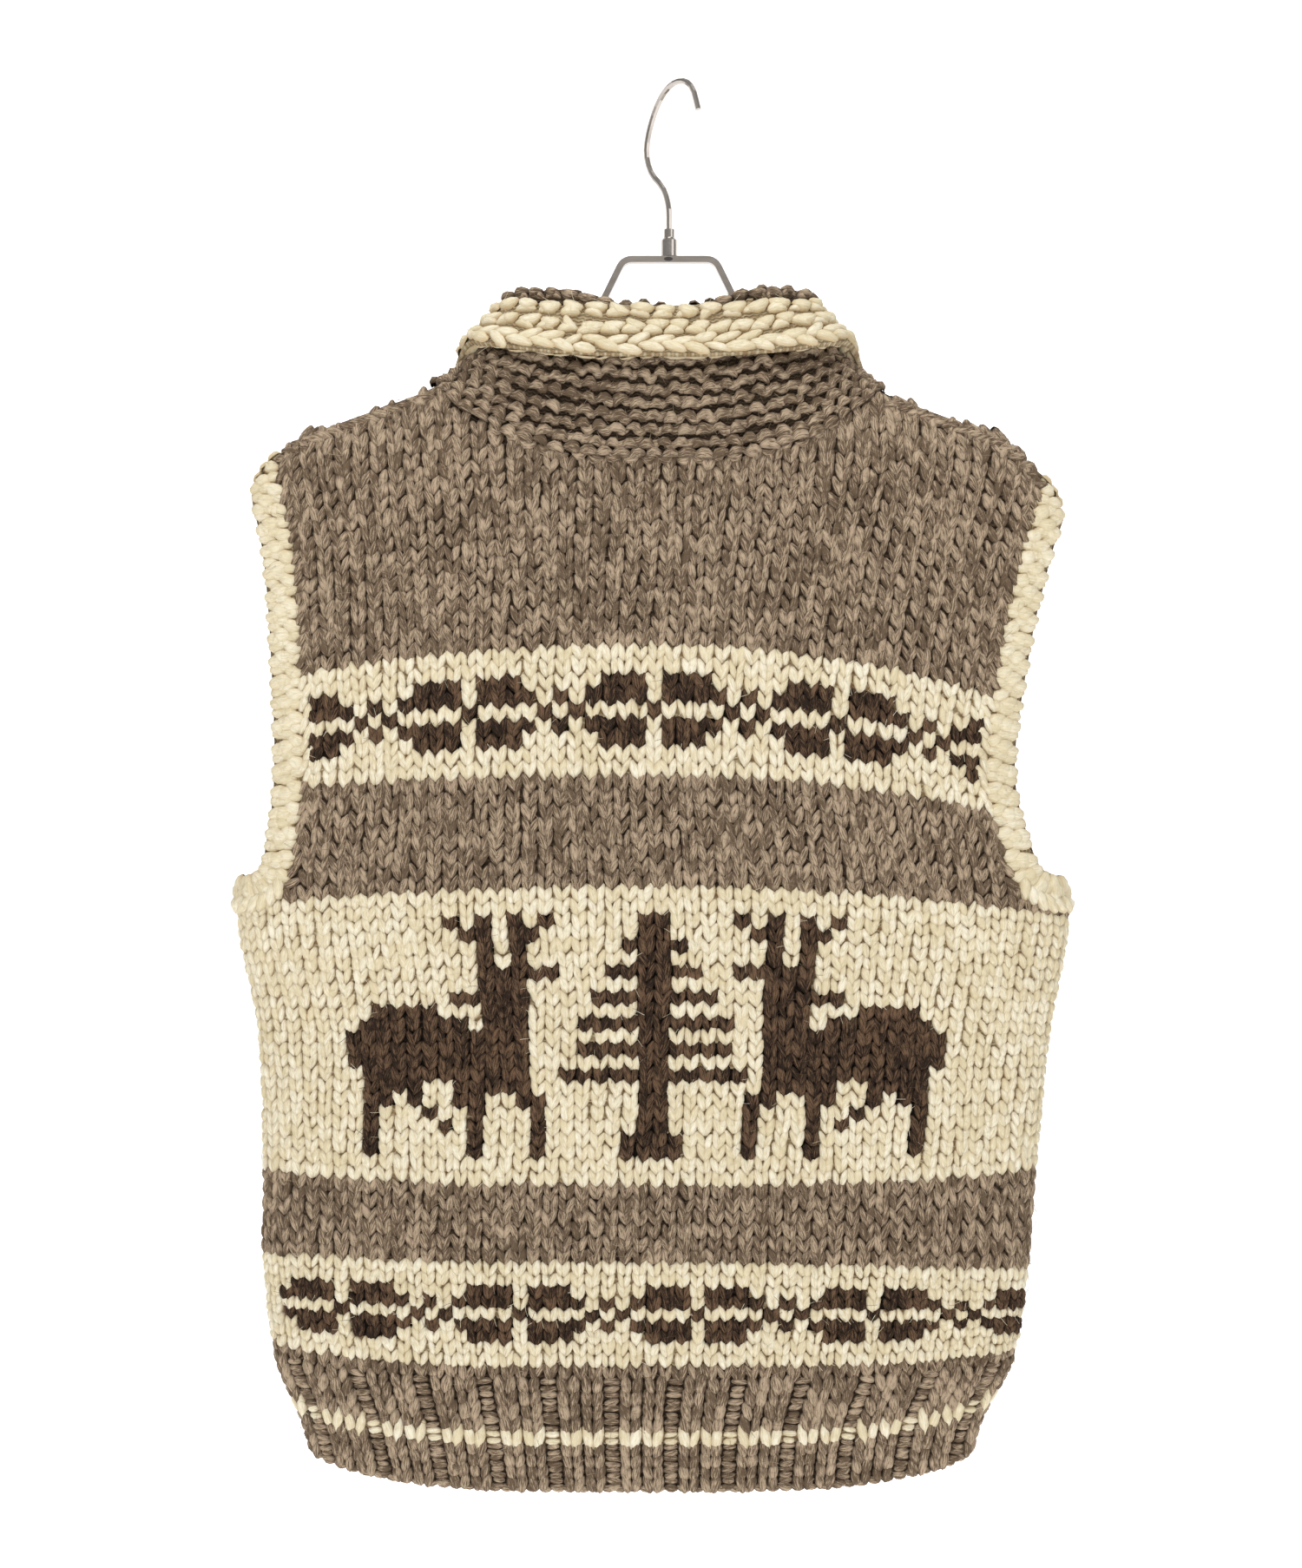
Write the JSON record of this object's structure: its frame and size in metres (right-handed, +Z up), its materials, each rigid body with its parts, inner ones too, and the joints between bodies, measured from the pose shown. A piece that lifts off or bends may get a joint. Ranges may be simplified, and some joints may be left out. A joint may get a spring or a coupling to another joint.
{
  "type": "knitted vest on a hanger",
  "caption": "Sleeveless thick-wool vest with a folded shawl collar, ribbed hem and patterned bands, hung by its shoulders on a steel hanger.",
  "frame": {"origin": "underside of the hook's top bend, where a rod or a peg holds the hanger", "axes": "+Z up, the back of the vest (the side in the picture) faces -Y, +X to the right of a viewer who looks at the back"},
  "size_m": [0.5261, 0.1071, 0.8921],
  "materials": {
    "brown_wool": "heathered thick wool knit",
    "cream_wool": "undyed thick wool knit",
    "steel": "satin"
  },
  "bodies": {
    "root": {"back": "brown_wool", "front": "brown_wool", "collar": "brown_wool", "collar_band": "cream_wool", "armhole_band_left": "cream_wool", "armhole_band_right": "cream_wool", "hanger_bar": "steel", "hanger_ferrule": "steel", "hanger_hook": "steel"}
  },
  "joints": []
}
